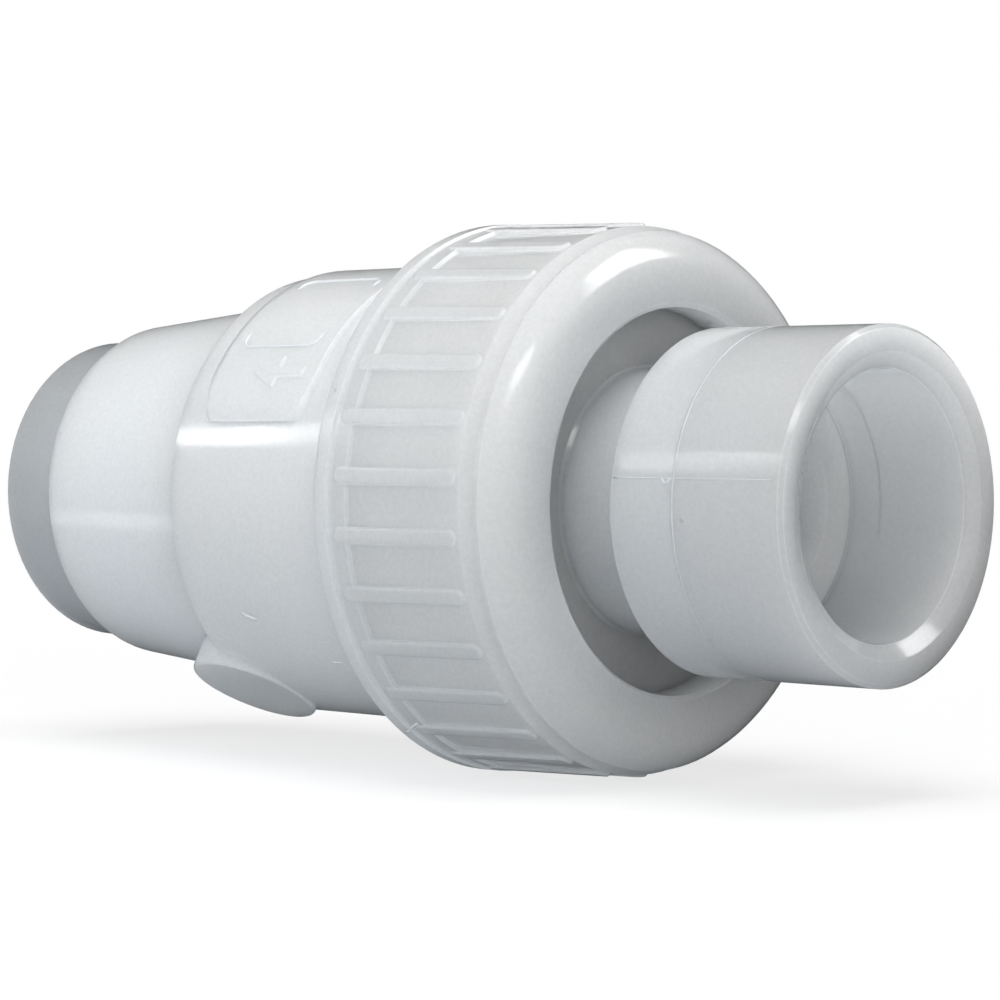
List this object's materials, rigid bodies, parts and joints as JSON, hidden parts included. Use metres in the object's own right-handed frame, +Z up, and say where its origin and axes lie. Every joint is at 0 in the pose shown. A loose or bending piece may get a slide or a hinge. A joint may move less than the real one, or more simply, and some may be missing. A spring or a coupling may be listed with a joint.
{
  "type": "check valve",
  "caption": "Inline ball check valve in translucent fusion plastic, with a welded socket at each end and one ribbed union nut.",
  "frame": {"origin": "centre of the mouth of the outlet socket, on the flow axis", "axes": "+X along the flow axis from the outlet socket to the inlet socket at the union end; +Z up, with the label panel on top and the boss below"},
  "size_m": [0.135, 0.0688, 0.0688],
  "materials": {
    "natural_plastic": "smooth moulded, milky translucent",
    "seal_rubber": "satin moulded"
  },
  "bodies": {
    "body": {"valve_body": "natural_plastic", "seat_carrier": "natural_plastic", "seat_ring": "seal_rubber", "carrier_o_ring": "seal_rubber", "face_o_ring": "seal_rubber"},
    "ball": {"ball": "natural_plastic"},
    "connector": {"end_connector": "natural_plastic"},
    "nut": {"union_nut": "natural_plastic"}
  },
  "joints": [
    {"name": "ball_lift", "type": "slide", "parent": "body", "child": "ball", "axis": [-1, 0, 0], "range_m": [0, 0.012]},
    {"name": "union_slide", "type": "slide", "parent": "body", "child": "connector", "axis": [1, 0, 0], "range_m": [0, 0.012]},
    {"name": "nut_turn", "type": "hinge", "parent": "connector", "child": "nut", "pos_m": [0.09, 0, 0], "axis": [1, 0, 0], "range_deg": [0, 1081]}
  ],
  "couplings": [
    {"joint": "nut_turn", "follows": "union_slide", "rad_per_m": 1570.8}
  ]
}
